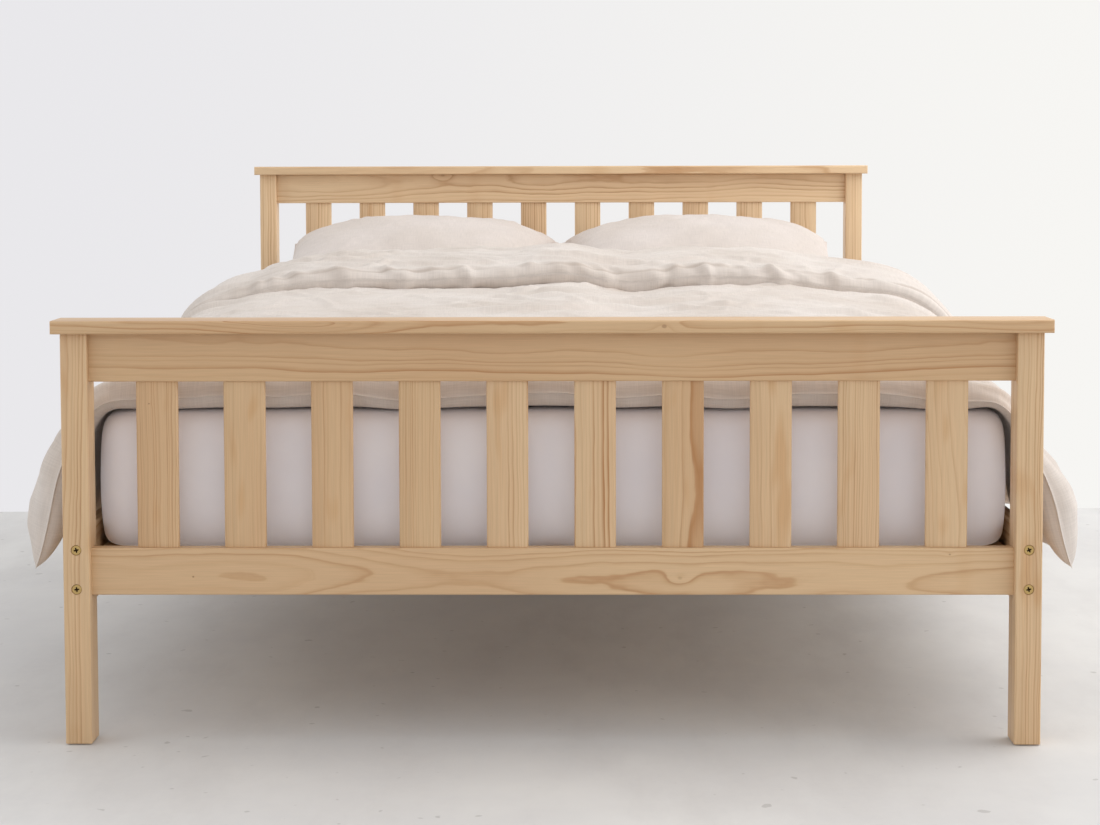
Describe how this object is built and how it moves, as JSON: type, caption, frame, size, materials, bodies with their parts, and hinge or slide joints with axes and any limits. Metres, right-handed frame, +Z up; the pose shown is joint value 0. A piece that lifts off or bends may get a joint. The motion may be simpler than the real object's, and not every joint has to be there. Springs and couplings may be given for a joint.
{
  "type": "spindle bed",
  "caption": "Double pine bed with flat-spindle head and foot boards, slatted base, fitted mattress, turned-down linen duvet and two pillows.",
  "frame": {"origin": "on the floor under the middle of the bed", "axes": "+X to the right seen from the foot, +Y from the footboard to the headboard, +Z up"},
  "size_m": [1.6446, 2.134, 0.868],
  "materials": {
    "pine": "clear matt lacquer over pale honey pine, long grain with orange-brown latewood lines",
    "pine_base": "planed, unlacquered pine",
    "beech": "fluted hardwood dowel",
    "zinc_brass": "yellow-passivated zinc plate, satin",
    "steel": "zinc-plated steel",
    "nylon": "moulded nylon",
    "webbing": "woven polyester tape",
    "mattress": "knitted ticking",
    "sheet": "smooth cotton percale, cool white",
    "linen": "washed linen, pale beige, soft slubby weave"
  },
  "bodies": {
    "frame": {"barrel_nuts": "zinc_brass", "bed_slat_01": "pine_base", "bed_slat_02": "pine_base", "bed_slat_03": "pine_base", "bed_slat_04": "pine_base", "bed_slat_05": "pine_base", "bed_slat_06": "pine_base", "bed_slat_07": "pine_base", "bed_slat_08": "pine_base", "bed_slat_09": "pine_base", "bed_slat_10": "pine_base", "bed_slat_11": "pine_base", "bed_slat_12": "pine_base", "bed_slat_13": "pine_base", "bolts": "zinc_brass", "centre_rail": "pine_base", "centre_rail_brackets": "steel", "cleat_left": "pine_base", "cleat_right": "pine_base", "dowels": "beech", "foot_bottom_rail": "pine", "foot_cap": "pine", "foot_post_left": "pine", "foot_post_right": "pine", "foot_spindle_01": "pine", "foot_spindle_02": "pine", "foot_spindle_03": "pine", "foot_spindle_04": "pine", "foot_spindle_05": "pine", "foot_spindle_06": "pine", "foot_spindle_07": "pine", "foot_spindle_08": "pine", "foot_spindle_09": "pine", "foot_spindle_10": "pine", "foot_top_rail": "pine", "glides": "nylon", "head_bottom_rail": "pine", "head_cap": "pine", "head_post_left": "pine", "head_post_right": "pine", "head_spindle_01": "pine", "head_spindle_02": "pine", "head_spindle_03": "pine", "head_spindle_04": "pine", "head_spindle_05": "pine", "head_spindle_06": "pine", "head_spindle_07": "pine", "head_spindle_08": "pine", "head_spindle_09": "pine", "head_spindle_10": "pine", "head_top_rail": "pine", "screws": "steel", "side_rail_left": "pine", "side_rail_right": "pine", "slat_tapes": "webbing"},
    "mattress": {"mattress": "mattress", "fitted_sheet": "sheet"},
    "duvet": {"duvet": "linen"},
    "pillow_left": {"pillow_left": "linen"},
    "pillow_right": {"pillow_right": "linen"}
  },
  "joints": [
    {"name": "mattress_lift", "type": "slide", "parent": "frame", "child": "mattress", "axis": [0, 0, 1], "range_m": [0, 0.4]},
    {"name": "duvet_lift", "type": "slide", "parent": "mattress", "child": "duvet", "axis": [0, 0, 1], "range_m": [0, 0.35]},
    {"name": "pillow_left_lift", "type": "slide", "parent": "mattress", "child": "pillow_left", "axis": [0, 0, 1], "range_m": [0, 0.25]},
    {"name": "pillow_right_lift", "type": "slide", "parent": "mattress", "child": "pillow_right", "axis": [0, 0, 1], "range_m": [0, 0.25]}
  ]
}
